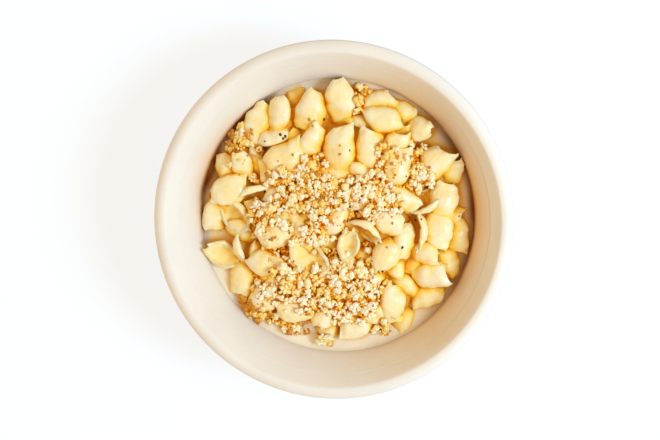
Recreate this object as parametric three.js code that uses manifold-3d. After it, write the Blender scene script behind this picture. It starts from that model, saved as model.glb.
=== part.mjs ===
// Mac and cheese in a round moulded-fibre bowl: small pasta shells in a pool of cheese sauce, with toasted
// breadcrumbs over them. Millimetres, +Z up. The origin is on the bowl's axis, in the plane its foot rests on.
import * as THREE from "three";
import { mergeVertices } from "three/addons/utils/BufferGeometryUtils.js";
import Module from "manifold-3d";

const wasm = await Module();
wasm.setup();

// ---- Driving dimensions: the bowl

const BOWL_HEIGHT = 55;
const RIM_RADIUS = 93.5; // to the outside of the rolled rim
const ROLL_RADIUS = 4.6; // of the rim's outer face, a quarter round
const RIM_THICKNESS = 1.9;
const WALL_THICKNESS = 2.2;
const FLOOR_TOP = 3; // the inside of the bowl's floor
const CORNER_RADIUS = 12; // inside, where the wall meets the floor
const LEDGE_HEIGHT = 46; // the shoulder that an upper bowl of a stack stands on
const LEDGE_RADIUS = 81;
const LEDGE_WIDTH = 0.8;
const LEAN_DEGREES = 25.8; // of the wall below the ledge, from the vertical
const FOOT_OUTER = 50;
const FOOT_INNER = 44;
const FOOT_BEVEL = 1;
const BOWL_SIDES = 48;

// ---- Driving dimensions: the food

const GAP = 0.3; // between one solid and the next
const SAUCE_LEVEL = 27.5;
const MENISCUS = 1.2; // how far the sauce climbs the bowl's wall
const MENISCUS_WIDTH = 3;
const MOUND_RADIUS = 67; // of the pasta, at the sauce's level
const MOUND_CENTRE = [1.5, 2];
const MOUND_RISE = 10;
const MOUND_SWELL = 0.8; // the height of its gentle hollows and rises
const CORE_RADIUS = 61; // of the packed pasta under the shells that show
const CORE_BOTTOM = 12;
const CORE_FOOT_RADIUS = 47;
const CORE_DEPTH = 2; // from the mound's mean surface down to the core's
const CORE_SIDES = 24;
const SHELL_LENGTH = 20.5;
const SHELL_WIDTH = 14.5;
const SHELL_HEIGHT = 11;
const SHELL_ARCH = 2.6; // how far the tips lie below the middle of the back
const SHELL_TIP = 0.22; // the tips' width, as a share of the shell's
const SHELL_SPREAD = 0.16; // of the shells' sizes, from the smallest to the largest
const SHELL_SIDES = 6;
const SHELL_STEPS = 4;
const MOUTH_LENGTH = 17;
const MOUTH_WIDTH = 7.5;
const MOUTH_DEPTH = 6;
const MOUTH_SHOWS_FROM = 50; // degrees of roll
const CRUMB_SIZE = 4.6;
const CRUMB_PROUD = 0.12; // how far its middle stands off the pasta, as a share of its size

// The shells that lie on top and show whole, as [x, y, heading, pitch, roll, lift]. Heading is the way the
// length points, pitch lifts that end, and roll turns the shell about it: 0 is back up, 180 is mouth up.
// Lift is the height of its middle over the mound's mean surface. Degrees and millimetres.
const TOP_SHELLS = [
  // along the far side, left to right
  [-44.2, 52.8, 65, 0, 0, 1],
  [-31.2, 53.4, 85, 0, -15, 0],
  [-24.2, 63.4, 40, 0, 0, -3],
  [-13.5, 57.2, 72, 0, 10, 1],
  [1.4, 60.9, 100, 0, 0, 1],
  [14.2, 51.3, 170, 0, 60, -2],
  [22.4, 62.4, 33, 0, 0, -1],
  [27, 50.8, 5, 0, 0, 1],
  [33.6, 58.1, -12, 0, -30, -3],
  [44.4, 46.5, -10, 0, 0, 0],
  // behind the middle
  [-32.6, 42.3, 12, 0, -60, -1],
  [-26, 31.6, 20, 0, 5, 3],
  [-13.6, 42, 50, 0, 70, 0],
  [1.5, 35.3, 100, 0, -5, 3],
  [16.2, 34.7, 80, 0, 10, 2],
  [33, 27.3, 80, 0, 0, 2],
  // the left side
  [-59.7, 26.1, 160, 0, 10, -1],
  [-50.6, 26.4, 95, 0, 0, 1],
  [-56.4, 14.2, 12, 0, 0, 2],
  [-43.9, 11.8, 10, 0, -110, 0],
  [-67.4, 1.4, 80, 0, 20, -2],
  [-55.8, -1.2, 115, 0, 160, 1],
  [-51.1, -17.1, 100, 0, -80, 0],
  [-63.4, -21.9, 148, 26, 175, 3.5],
  // the middle, where the crumbs lie thin
  [-37.3, -24.6, -25, 0, 10, 2],
  [-32.2, -10, 20, 0, 0, 3],
  [-13, -20.8, -50, -8, 150, 2],
  [6.5, -13.4, 92, 0, 180, 2],
  [28, -2.5, -15, 0, 20, 2.5],
  [13.8, -5.6, -35, 0, -120, 2],
  [28.4, -20.6, 62, 0, 5, 2],
  // the right side
  [52.4, 26.3, 75, 0, 5, 0],
  [61.4, 22.9, 80, 0, 150, -2],
  [52.5, 6.9, 70, 0, 100, 1],
  [54.1, -6.4, 85, 0, 0, 1],
  [63.5, -8.7, 88, 0, 0, -3],
  [43.5, -5.7, 88, 0, 110, 0],
  [46.7, -19.6, -5, 0, 0, 1],
  [49.8, -30.6, 8, 0, 0, 0],
  [60.3, -24.6, -62, 0, -40, -2],
  [49.6, -41.3, 20, 0, 0, -3],
  // the near side
  [31.8, -45.2, 93, 0, 100, 1],
  [37.3, -55.4, -60, 0, 0, -4],
  [8.8, -58.4, 8, 0, 0, -1],
  [-27.1, -45.6, 12, 0, 0, 1],
  [-40, -39, 60, 0, 0, 0],
  [-49.4, -32.9, 70, 0, 0, -2],
];
const FILL_SPACING = 15.5; // of the shells that a rule lays between those, mostly under the crumbs
const FILL_CLEAR = 12; // no nearer than this to a shell of the list
const FILL_JITTER = 4;

// Where the crumbs lie, as ellipses: [x, y, half width, half depth, turn in degrees, number of lumps].
const CRUMB_PATCHES = [
  [4, 12, 46, 14, 3, 48],
  [26, 32, 8, 10, 0, 6],
  [44, 27, 7, 12, 0, 6],
  [-46, 38, 11, 9, 0, 8],
  [-18, -8, 20, 8, 0, 6],
  [-13, -41, 36, 15, 5, 34],
  [-42, -44, 10, 7, -40, 8],
  [14, 65, 5, 6, 0, 4],
  [23, -58, 6, 5, 0, 4],
];
const STRAY_CRUMBS = [-8, -69, 3, 2, 0, 5]; // a clump in the sauce, outside the heap

// ---- Small tools

// A seeded stream of numbers from 0 to 1 (the 32-bit mulberry generator).
function seeded(seed) {
  let state = seed;
  return () => {
    state = (state + 0x6d2b79f5) | 0;
    let t = Math.imul(state ^ (state >>> 15), 1 | state);
    t = (t + Math.imul(t ^ (t >>> 7), 61 | t)) ^ t;
    return ((t ^ (t >>> 14)) >>> 0) / 2 ** 32;
  };
}

// A closed geometry as a manifold-3d solid.
function solidOf(geometry) {
  const bare = geometry.clone();
  bare.deleteAttribute("normal");
  bare.deleteAttribute("uv");
  const merged = mergeVertices(bare, 1e-4);
  return new wasm.Manifold(
    new wasm.Mesh({
      numProp: 3,
      vertProperties: merged.attributes.position.array,
      triVerts: new Uint32Array(merged.index.array),
    }),
  );
}

function geometryOf(solid) {
  const { vertProperties, triVerts } = solid.getMesh();
  const geometry = new THREE.BufferGeometry();
  geometry.setAttribute("position", new THREE.BufferAttribute(vertProperties, 3));
  geometry.setIndex(new THREE.BufferAttribute(triVerts, 1));
  geometry.computeVertexNormals();
  return geometry;
}

// The largest body of a solid: loose scraps are dropped, and hollows that fusing has sealed are filled.
function mainBody(solid) {
  const bodies = solid.decompose();
  return bodies.reduce((best, body) => (body.volume() > best.volume() ? body : best));
}

// A solid turned about +Z from a profile of [radius, height] points, which runs up the outside.
function turned(profile, sides) {
  const points = profile.map(([radius, height]) => new THREE.Vector2(radius, height));
  return new THREE.LatheGeometry(points, sides).rotateX(Math.PI / 2);
}

// Points of [radius, height] along an arc, with angles in degrees from +radius towards +height.
function arc(centreRadius, centreHeight, radius, from, to, steps) {
  return Array.from({ length: steps + 1 }, (_, i) => {
    const angle = THREE.MathUtils.degToRad(from + ((to - from) * i) / steps);
    return [centreRadius + radius * Math.cos(angle), centreHeight + radius * Math.sin(angle)];
  });
}

// ---- The bowl

const WALL_LEAN = THREE.MathUtils.degToRad(LEAN_DEGREES);
const CORNER_HEIGHT = FLOOR_TOP + CORNER_RADIUS; // of the corner's centre
const WALL_START = FLOOR_TOP + CORNER_RADIUS * (1 - Math.sin(WALL_LEAN)); // where the straight wall begins
const WALL_GAP = GAP / Math.cos(WALL_LEAN); // the same gap, measured level
const CORNER_CENTRE =
  LEDGE_RADIUS - (LEDGE_HEIGHT - WALL_START) * Math.tan(WALL_LEAN) - CORNER_RADIUS * Math.cos(WALL_LEAN);

// The radius of the bowl's inner face at a height below the ledge.
function innerRadius(height) {
  if (height >= WALL_START) {
    return LEDGE_RADIUS - (LEDGE_HEIGHT - height) * Math.tan(WALL_LEAN);
  }
  return CORNER_CENTRE + Math.sqrt(Math.max(0, CORNER_RADIUS ** 2 - (CORNER_HEIGHT - height) ** 2));
}

function bowlGeometry() {
  const rollCentre = RIM_RADIUS - ROLL_RADIUS;
  const rollHeight = BOWL_HEIGHT - ROLL_RADIUS;
  const outerLedge = [
    LEDGE_RADIUS + WALL_THICKNESS * Math.cos(WALL_LEAN) + LEDGE_WIDTH / 2,
    LEDGE_HEIGHT - WALL_THICKNESS * Math.sin(WALL_LEAN),
  ];
  return turned(
    [
      [0, FLOOR_TOP - WALL_THICKNESS],
      [FOOT_INNER - FOOT_BEVEL, FLOOR_TOP - WALL_THICKNESS],
      [FOOT_INNER, 0],
      [FOOT_OUTER, 0],
      ...arc(CORNER_CENTRE, CORNER_HEIGHT, CORNER_RADIUS + WALL_THICKNESS, -90, -LEAN_DEGREES, 3),
      outerLedge,
      ...arc(rollCentre, rollHeight, ROLL_RADIUS - RIM_THICKNESS, 90, 0, 2),
      ...arc(rollCentre, rollHeight, ROLL_RADIUS, 0, 110, 5),
      [LEDGE_RADIUS + LEDGE_WIDTH, LEDGE_HEIGHT],
      [LEDGE_RADIUS, LEDGE_HEIGHT],
      ...arc(CORNER_CENTRE, CORNER_HEIGHT, CORNER_RADIUS, -LEAN_DEGREES, -90, 3),
      [0, FLOOR_TOP],
    ],
    BOWL_SIDES,
  );
}

// ---- The sauce

// The sauce's upper face as [radius, height], from its meniscus on the wall to the axis.
function surface(level) {
  return [
    [innerRadius(level + MENISCUS) - WALL_GAP, level + MENISCUS],
    [innerRadius(level) - MENISCUS_WIDTH / 2, level + MENISCUS / 4],
    [innerRadius(level) - MENISCUS_WIDTH, level],
    [0, level],
  ];
}

// The whole pool, before the pasta's place is cut from it.
function poolGeometry() {
  return turned(
    [
      [0, FLOOR_TOP + GAP],
      ...arc(CORNER_CENTRE, CORNER_HEIGHT, CORNER_RADIUS - GAP, -90, -LEAN_DEGREES, 3),
      ...surface(SAUCE_LEVEL),
    ],
    BOWL_SIDES,
  );
}

// The room inside the bowl over the sauce, less the gap all round.
function roomGeometry() {
  const wallTop = LEDGE_RADIUS - WALL_GAP;
  const upperFace = [
    [wallTop, LEDGE_HEIGHT],
    [wallTop, BOWL_HEIGHT],
    [0, BOWL_HEIGHT],
  ];
  return turned([...surface(SAUCE_LEVEL + GAP).reverse(), ...upperFace], BOWL_SIDES);
}

// ---- The pasta

// The height of the mound's mean surface, with the gentle hollows and rises of a spooned heap.
function moundHeight(x, y) {
  const [centreX, centreY] = MOUND_CENTRE;
  const outwards = Math.hypot(x - centreX, y - centreY) / MOUND_RADIUS;
  const dome = Math.max(0, 1 - outwards ** 2) ** 0.6;
  const swell = MOUND_SWELL * Math.sin(x / 11 + 0.6) * Math.cos(y / 13 - 0.4);
  return SAUCE_LEVEL + MOUND_RISE * dome + swell * Math.sqrt(dome);
}

// The packed pasta that carries the shells: a mound whose foot is sunk in the sauce.
function coreGeometry(grown) {
  const side = CORE_RADIUS + grown;
  const foot = [
    [0, CORE_BOTTOM - grown],
    [CORE_FOOT_RADIUS + grown, CORE_BOTTOM - grown],
    [side, SAUCE_LEVEL - 5],
  ];
  const rings = [1, 0.9, 0.75, 0.55, 0.3, 0].map((share) => [side * share, SAUCE_LEVEL]);
  const profile = [...foot, ...rings];
  const geometry = turned(profile, CORE_SIDES).translate(...MOUND_CENTRE, 0);
  const position = geometry.attributes.position;
  for (let i = 0; i < position.count; i++) {
    const onTop = i % profile.length >= foot.length;
    if (onTop) {
      position.setZ(i, moundHeight(position.getX(i), position.getY(i)) - CORE_DEPTH + grown);
    }
  }
  return geometry;
}

// A form with its length along X and its back up: full in the middle, pinched towards blunt tips, and arched
// so that the tips lie lower than its back.
function lemon(length, width, height) {
  const geometry = new THREE.CylinderGeometry(1, 1, 2, SHELL_SIDES, SHELL_STEPS).rotateZ(-Math.PI / 2);
  const position = geometry.attributes.position;
  for (let i = 0; i < position.count; i++) {
    const along = position.getX(i);
    const girth = SHELL_TIP + (1 - SHELL_TIP) * Math.max(0, 1 - Math.abs(along) ** 2.2) ** 0.75;
    const across = (position.getY(i) * girth * width) / 2;
    const up = (position.getZ(i) * girth * height) / 2;
    position.setXYZ(i, (along * length) / 2, across, up - SHELL_ARCH * along ** 2);
  }
  return geometry;
}

// Moves a shell inwards until what stands above the sauce clears the bowl's wall.
function settle(shell) {
  const position = shell.geometry.attributes.position;
  const point = new THREE.Vector3();
  for (let pass = 0; pass < 3; pass++) {
    shell.updateMatrixWorld();
    let over = 0;
    for (let i = 0; i < position.count; i++) {
      point.fromBufferAttribute(position, i).applyMatrix4(shell.matrixWorld);
      if (point.z > SAUCE_LEVEL) {
        over = Math.max(over, Math.hypot(point.x, point.y) + WALL_GAP - innerRadius(point.z));
      }
    }
    const reach = Math.hypot(shell.position.x, shell.position.y);
    shell.position.x *= 1 - over / reach;
    shell.position.y *= 1 - over / reach;
  }
  shell.updateMatrixWorld();
}

// A shell in its place, as a solid. Only one whose mouth can be seen is hollow.
function placedShell([x, y, heading, pitch, roll, lift], size) {
  const shell = new THREE.Mesh(lemon(SHELL_LENGTH, SHELL_WIDTH, SHELL_HEIGHT));
  const [turn, tip, spin] = [heading, -pitch, roll].map(THREE.MathUtils.degToRad);
  shell.rotation.set(spin, tip, turn, "ZYX");
  shell.scale.setScalar(size);
  shell.position.set(x, y, moundHeight(x, y) + lift);
  settle(shell);
  const body = solidOf(shell.geometry.applyMatrix4(shell.matrixWorld));
  if (Math.abs(roll) < MOUTH_SHOWS_FROM) {
    return body;
  }
  const hollow = lemon(MOUTH_LENGTH, MOUTH_WIDTH, 2 * MOUTH_DEPTH).translate(0, 0, -SHELL_HEIGHT / 2);
  return body.subtract(solidOf(hollow.applyMatrix4(shell.matrixWorld)));
}

// The shells between those of the list, on a loose triangular grid.
function fillShells(random) {
  const places = [];
  const [centreX, centreY] = MOUND_CENTRE;
  const reach = MOUND_RADIUS - SHELL_WIDTH / 2;
  const rowStep = (FILL_SPACING * Math.sqrt(3)) / 2;
  const rows = Math.ceil(MOUND_RADIUS / rowStep);
  const spread = (width) => (random() - 0.5) * width;
  for (let row = -rows; row <= rows; row++) {
    for (let column = -rows; column <= rows; column++) {
      const x = centreX + (column + (row % 2) / 2) * FILL_SPACING + spread(FILL_JITTER);
      const y = centreY + row * rowStep + spread(FILL_JITTER);
      const shell = [x, y, spread(180), spread(40), spread(60), spread(1)];
      const crowded = TOP_SHELLS.some(([otherX, otherY]) => Math.hypot(x - otherX, y - otherY) < FILL_CLEAR);
      if (!crowded && Math.hypot(x, y) < reach) {
        places.push(shell);
      }
    }
  }
  return places;
}

// A crumb's place in a patch, as [x, y].
function crumbPlace([x, y, halfWidth, halfDepth, turn], random) {
  const reach = Math.sqrt(random());
  const angle = random() * 2 * Math.PI;
  const place = new THREE.Vector2(reach * halfWidth * Math.cos(angle), reach * halfDepth * Math.sin(angle));
  place.rotateAround(new THREE.Vector2(), THREE.MathUtils.degToRad(turn));
  return [x + place.x, y + place.y];
}

// Lumps of crumb on a solid's upper face, each pressed a little into what it lies on.
function withCrumbs(solid, patches, random) {
  const target = new THREE.Mesh(geometryOf(solid));
  const ray = new THREE.Raycaster();
  const down = new THREE.Vector3(0, 0, -1);
  const lumps = [];
  for (const patch of patches) {
    const count = patch.at(-1);
    for (let i = 0; i < count; i++) {
      ray.set(new THREE.Vector3(...crumbPlace(patch, random), BOWL_HEIGHT), down);
      const size = CRUMB_SIZE * (0.7 + 0.6 * random());
      const lump = new THREE.OctahedronGeometry(size / 2, 0);
      lump.scale(1, 0.75 + 0.5 * random(), 0.7 + 0.3 * random());
      lump.rotateX(random() * Math.PI).rotateZ(random() * Math.PI);
      const [hit] = ray.intersectObject(target);
      if (hit) {
        lump.translate(hit.point.x, hit.point.y, hit.point.z + size * CRUMB_PROUD);
        lumps.push(solidOf(lump));
      }
    }
  }
  return solid.add(wasm.Manifold.union(lumps));
}

function pastaSolid() {
  const random = seeded(11);
  const places = [...TOP_SHELLS, ...fillShells(random)];
  const shells = places.map((place) => placedShell(place, 1 + (random() - 0.5) * SHELL_SPREAD));
  const core = solidOf(coreGeometry(0));
  const room = solidOf(roomGeometry());
  const bare = mainBody(core.add(wasm.Manifold.union(shells).intersect(room)));
  return mainBody(withCrumbs(bare, CRUMB_PATCHES, random).intersect(core.add(room)));
}

function sauceSolid() {
  const pool = solidOf(poolGeometry()).subtract(solidOf(coreGeometry(GAP)));
  return withCrumbs(pool, [STRAY_CRUMBS], seeded(5));
}

// ---- Materials and the model

function material(color, roughness) {
  return new THREE.MeshStandardMaterial({ color, roughness, metalness: 0 });
}

function part(name, geometry, finish) {
  const mesh = new THREE.Mesh(geometry, finish);
  mesh.name = name;
  return mesh;
}

const macAndCheese = new THREE.Group();
macAndCheese.add(
  part("bowl", bowlGeometry(), material(0xf1e9da, 0.85)),
  part("cheese_sauce", geometryOf(sauceSolid()), material(0xecd9b4, 0.35)),
  part("pasta_heap", geometryOf(pastaSolid()), material(0xf3dfa4, 0.45)),
);

export default macAndCheese;
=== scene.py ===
"""A moulded-fibre bowl of mac and cheese, dressed around its fixed frame.

The bowl, the pool of sauce, the pasta shells, the sauce that clings between them, the breadcrumbs by colour,
the pepper, the seasoning and the browned specks are pieces of their own. All are in metres, +Z up, with the
bowl's foot on the floor at the origin.
"""

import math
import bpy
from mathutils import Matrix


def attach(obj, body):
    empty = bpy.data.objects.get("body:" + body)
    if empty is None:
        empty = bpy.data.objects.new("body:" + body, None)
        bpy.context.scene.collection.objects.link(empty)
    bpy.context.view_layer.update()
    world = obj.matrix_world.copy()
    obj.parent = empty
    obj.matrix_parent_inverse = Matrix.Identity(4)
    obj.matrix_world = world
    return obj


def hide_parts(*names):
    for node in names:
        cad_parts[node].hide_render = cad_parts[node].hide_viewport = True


bl_info = {
    "name": "Mac and Cheese Bowl",
    "version": (1, 0, 0),
    "blender": (4, 5, 0),
    "location": "3D View > Sidebar > Mac and Cheese",
    "description": "Dresses the frame of a bowl of mac and cheese with its pasta, sauce and crumbs",
    "category": "Object",
}

import bmesh
import bpy
import numpy as np
from mathutils import Euler, Matrix, Vector, noise
from mathutils.bvhtree import BVHTree

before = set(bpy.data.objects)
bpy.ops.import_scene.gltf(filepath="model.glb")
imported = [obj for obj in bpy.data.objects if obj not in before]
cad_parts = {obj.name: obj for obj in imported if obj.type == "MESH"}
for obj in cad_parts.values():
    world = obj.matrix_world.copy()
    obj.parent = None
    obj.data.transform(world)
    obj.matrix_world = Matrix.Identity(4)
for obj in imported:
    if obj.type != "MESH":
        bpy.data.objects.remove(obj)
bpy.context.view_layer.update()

MM = 0.001

# ---- Fixed sizes, in millimetres and radians unless they say otherwise, with their shares and strengths

# The bowl's section, from the foot ring to the rolled rim
FOOT_START = 43.0
FOOT_RING = ((43.8, 0.3), (44.4, 0.0), (49.6, 0.0))
FLOOR_TOP = 3.0
BOWL_WALL = 2.2
WALL_LEAN = math.radians(25.8)
LEDGE_HEIGHT = 46.0
LEDGE_RADIUS = 81.0
LEDGE_WIDTH = 0.8
CORNER_RADIUS = 12.0
WALL_START = FLOOR_TOP + CORNER_RADIUS * (1 - math.sin(WALL_LEAN))
WALL_RUN = (LEDGE_HEIGHT - WALL_START) * math.tan(WALL_LEAN)
CORNER_CENTRE = LEDGE_RADIUS - WALL_RUN - CORNER_RADIUS * math.cos(WALL_LEAN)
RIM_ROLL = 4.6
RIM_EDGE = 1.9
BOWL_SIDES = 256

# The inner wall's flare above its straight part, and the ledge's fine line on it
FLARE_START = 39.0
FLARE_LEVELS = (53.6, 52.4, 51.2, 50, 48.8, 47.6, 46.7, 46.3, 46.1, 45.9, 45.6, 45, 44, 43, 42, 41, 40)
LEDGE_LINE = 0.12
LEDGE_FADE = 1.4

# How far pressed pulp strays from a true form: a slow wander, a ripple, a share out of round, a sagging rim
BOWL_WANDER = 0.22
BOWL_RIPPLE = 0.05
BOWL_OUT_OF_ROUND = 0.0012
RIM_SAG = 0.12

# Butter on the wall and painted shade with it: where they gather round the bowl, how far they climb, and the
# width of the painted contact shadow at their foot
BUTTER_AND_SHADE_RIGHT = math.radians(7)
BUTTER_AND_SHADE_RIGHT_HALF = math.radians(54)
BUTTER_AND_SHADE_LEFT = math.radians(156)
BUTTER_AND_SHADE_LEFT_HALF = math.radians(30)
BUTTER_AND_SHADE_REACH = 7.0
SHADOW_LINE_WIDTH = 2.0

# Painted shade: in the ledge's line, in tan to either side of the butter on the right, and in grey low on the
# rim's outside
LEDGE_SHADE = 0.16
LEDGE_SPREAD = 0.45
SIDE_SHADE_CENTRE = math.radians(5)
SIDE_SHADE_ASIDE = math.radians(48)
SIDE_SHADE_HALF = math.radians(21)
SIDE_SHADE_TOP = 56.0
SIDE_SHADE_FADE = 5.0
RIM_SHADE_WIDTH = 2.4
RIM_SHADE_DROP = 2.2
RIM_SHADE_FADE = 1.2

# The pool of sauce: its level, its climb up the wall, the smear that climbs further, and the painted contact
# shadow at its edge
SAUCE_LEVEL = 27.5
POOL_SIDES = 192
POOL_GAP = 0.05
MENISCUS = 1.2
MENISCUS_WIDTH = 3.0
SMEAR_TURN = math.radians(108)
SMEAR_HALF = math.radians(22)
SMEAR_CLIMB = 1.8
CONTACT_SHADOW_WIDTH = 2.7

# The heap: a low dome with a slow swell, the sauce that fills it, and the room that food leaves at the wall
MOUND_CENTRE = (1.5, 2.0)
MOUND_RADIUS = 67.0
MOUND_RISE = 10.0
MOUND_SWELL = 0.8
HEAP_SAUCE_RADIUS = 66
HEAP_SAUCE_FOOT = 12
HEAP_SAUCE_SIDES = 256
HEAP_SAUCE_RINGS = 84
WALL_CLEARANCE = 0.3

# The shells' form. One that is rolled further than OPEN_ROLL degrees shows its mouth and is kept clear
SHELL_ARCH = 2.6
SHELL_STATIONS = 19
SHELL_ACROSS = 15
SHELL_RIBS = 13
LIP_SWELL = 1.4
OPEN_ROLL = 50
MOUTH_ROOM = 9

# How much deeper a steep place counts in the painted shade, and the share of that painted shade that an open
# shell keeps
STEEP_SHADE = 0.3
MOUTH_SHADE = 0.48
CRUMB_STEEP_SHADE = 0.28

# How far under the food's smoothed top the painted shade under the crumbs begins, and over what depth it grows
UNDER_CRUMB_SHADE_START = 0.5
UNDER_CRUMB_SHADE_DEPTH = 2.2

# The crumbs: how far out they lie, and the height that a landing crumb's top stays under. The shares turn a
# patch's amount into clumps, loose grains and browned specks. A loose grain is warmer in colour by its warmth,
# and what is smaller than SINGLE_BELOW is one lobe. With LOBES_AT_MOST a piece has under 200,000 triangles.
CRUMB_REACH = 68.5
PILE_TOP = 45.9
CLUMP_SHARE = 0.11
GRAIN_SHARE = 0.2
SPECK_SHARE = 0.012
GRAIN_WARMTH = 0.3
SINGLE_BELOW = 1.05
LOBES_AT_MOST = 2400

# The kinds of crumb, each with the warmth that its lobes stay under
CRUMB_KINDS = (("cream", 0.56), ("pale", 0.79), ("golden", 1.03), ("toasted", math.inf))

# The stage: the floor in millimetres, the window light and the camera in metres
FLOOR_HALF = 2000
WINDOW_SIZE = 0.5
WINDOW_AWAY = 1.3
WINDOW_AZIMUTH = math.radians(-5)
WINDOW_ELEVATION = math.radians(46)
CAMERA_LENS_MM = 85
CAMERA_SENSOR_MM = 36
CAMERA_CLIP = (0.05, 20)
CAMERA_LEANS_TO = math.radians(48)
CAMERA_TARGET = (-0.0008, 0.0011, 0.0525)

# The shells that lie on top, as (x, y, heading, pitch, roll, lift). Heading is the way the
# length points, pitch lifts that end, and roll turns the shell about it: 0 is back up, 180 is mouth up.
# Lift is the height of its middle over the mound's mean surface. Degrees and millimetres. A last number
# is the size of a shell that is larger or smaller than most.
TOP_SHELLS = (
    # along the far side, left to right
    (-45.7, 55, 62, 0, 0, 2, 1.15),
    (-29.5, 54, 85, 0, -35, 1),
    (-24.2, 63.4, 40, 0, 0, -2),
    (-12.5, 56.2, 72, 0, 10, 1.5, 1.12),
    (2.2, 62.4, 100, 5, 0, 2, 1.15),
    (14.2, 51.3, 170, 0, 60, -3),
    (23.4, 65, 33, 0, 0, 1),
    (25.4, 51.6, 8, 0, 0, 2),
    (35, 58.4, -12, 0, -30, -1),
    (43.8, 47, -20, 32, 0, 1.5, 0.9),
    # behind the middle
    (-32.6, 42.3, 12, 0, -60, -1),
    (-26, 31.6, 20, 0, 5, 3, 1.2),
    (-12.2, 39.4, 50, 0, 45, 0.5, 1.1),
    (3, 36.6, 100, 0, -5, 3, 1.22),
    (18.4, 36, 80, 0, 10, 2, 1.15),
    (31, 37.5, 70, 8, 20, 1),
    (33, 27.3, 80, 0, 0, 2),
    # the left side
    (-61.6, 27.5, 160, 0, 10, 1.5),
    (-49.4, 27.4, 95, 28, 0, 2, 0.85),
    (-56.4, 14.2, 12, 0, 0, 3, 1.1),
    (-43.9, 11.8, 10, 0, -110, 0),
    (-67.4, 1.4, 80, 0, 20, 0),
    (-54.4, 0.6, 122, 0, 160, 1),
    (-51.1, -17.1, 100, 0, -80, 0),
    (-63, -21.9, 144, 16, 176, 4, 1.05),
    # the middle, where the crumbs lie thin
    (-37.3, -24.6, -25, 0, 10, 2),
    (-30.6, -8.8, 20, 0, 0, 3),
    (-13, -20.8, -53, -4, 168, 4, 1.22),
    (7.6, -14, 92, 0, 180, 3.5, 0.9),
    (27.2, -1.2, -15, 0, 20, 2.5),
    (15.6, -5.6, -35, 0, -120, 2),
    (27.2, -18.8, 62, 0, 5, 2),
    (36.2, -11, 80, 0, 40, 0.5),
    # the right side
    (51.6, 28.6, 62, 10, 5, 0.5),
    (61.8, 25, 80, 20, 15, 0, 0.85),
    (46, 9.4, 35, 0, 140, 1),
    (56.6, 9.2, 80, 0, 10, 0.5),
    (54.5, -5.4, 85, 0, 0, 1),
    (64.4, -7.6, 88, 0, 0, -2),
    (43.5, -5.7, 88, 0, 110, 0),
    (47.4, -17.6, -5, 18, 0, 1.5, 0.88),
    (50, -29.2, 8, 12, 0, 0.5),
    (61.6, -22.6, -62, 0, -40, -1),
    (49, -41, 20, 0, 0, -2),
    # the near side
    (30.6, -43.6, 88, 0, 25, 1.5),
    (36, -55, -60, 0, 0, -3),
    (11, -57.8, 8, 0, 0, 0),
    (-21.6, -48.4, 12, 0, 0, 1),
    (-36.4, -42.6, 42, 0, 0, 1),
    (-49.4, -32.9, 70, 0, 0, -2),
)

# Where the crumbs lie, as ellipses: (x, y, half width, half depth, turn in degrees, amount, how browned).
CRUMB_PATCHES = (
    # the band behind the middle
    (-18, 14, 26, 14, -5, 1450, 0.29),
    (-9, 19, 10, 8, 0, 300, 0.7),
    (20, 11, 16, 12, 0, 900, 0.05),
    (28, 30, 8, 9, 0, 220, 0.5),
    (44, 24, 8, 12, 0, 230, 0.4),
    (-4, -4, 13, 7, 0, 330, 0.25),
    (-30, -8, 9, 7, 0, 230, 0.25),
    (-14, -12, 9, 5, 0, 190, 0.25),
    (-39, 2, 8, 9, 0, 150, 0.4),
    # the band before it
    (-9, -36, 33, 15, 2, 1750, 0.2),
    (-2, -37, 8, 6, 0, 170, 0.7),
    (9, -43, 14, 11, 0, 430, 0.05),
    (17, -24, 5, 9, 0, 60, 0.4),
    (-31, -23, 6, 6, 0, 50, 0.4),
    # the edges
    (-47, 38, 11, 9, 0, 360, 0.85),
    (-43, -49, 11, 6, -40, 260, 1.0),
    (-26, -60, 12, 4, -12, 130, 0.7),
    (24, -59, 6, 5, 0, 60, 0.5),
    (13, 64, 4, 7, 0, 110, 0.7),
    (-7, -66, 5, 3, 40, 60, 0.4),
)

# Where single flakes of pepper and of seasoning lie, as (x, y)
PEPPER = (
    (-28.5, 44), (-26, 43), (-27, 42), (-6, 52), (8.5, 7), (45.5, 0.5), (42, -1), (42, 2.5), (25.5, -27),
    (-34, -28), (14.5, -46), (-24, 16), (-37.5, 13.5), (36, -14),
)
SEASONING = (
    (3.5, 39), (8.5, 36.5), (3.5, 34.5), (30.5, 2), (31, -1), (21.5, -28.5), (24, -36.5), (28, -14),
    (-29, 30.5), (-21, 34), (-50.5, 22.5), (-29, 25.5), (-11, 49), (-13, 52), (65, 1.5), (-4.5, 13.5),
)


# ---- Settings that the panel shows


class BowlSettings(bpy.types.PropertyGroup):
    fibre: bpy.props.FloatVectorProperty(
        name="Fibre colour", description="Colour of the moulded fibre",
        subtype="COLOR", default=(0.835, 0.82, 0.785),
    )
    # the butter colour, laid on the wall partly as a real butter mark and partly as painted shade
    butter: bpy.props.FloatVectorProperty(
        name="Buttered fibre", description="Colour of the fibre by the food",
        subtype="COLOR", default=(0.86, 0.48, 0.12),
    )
    rim_radius: bpy.props.FloatProperty(
        name="Rim radius", description="To the outside of the rolled rim",
        unit="LENGTH", default=93.5 * MM,
    )
    height: bpy.props.FloatProperty(
        name="Height", description="From the foot to the top of the rim",
        unit="LENGTH", default=55 * MM,
    )


class SauceSettings(bpy.types.PropertyGroup):
    cream: bpy.props.FloatVectorProperty(
        name="Sauce colour", description="Colour of the cheese sauce",
        subtype="COLOR", default=(0.92, 0.82, 0.63),
    )
    # the sauce's deepest colour, laid as painted shade between the shells
    melted: bpy.props.FloatVectorProperty(
        name="Melted cheese", description="Colour of the sauce between the shells",
        subtype="COLOR", default=(0.74, 0.34, 0.02),
    )
    depth: bpy.props.FloatProperty(
        name="Sauce depth", description="From the shells' smoothed surface down to it",
        unit="LENGTH", default=2.8 * MM,
    )


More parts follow.
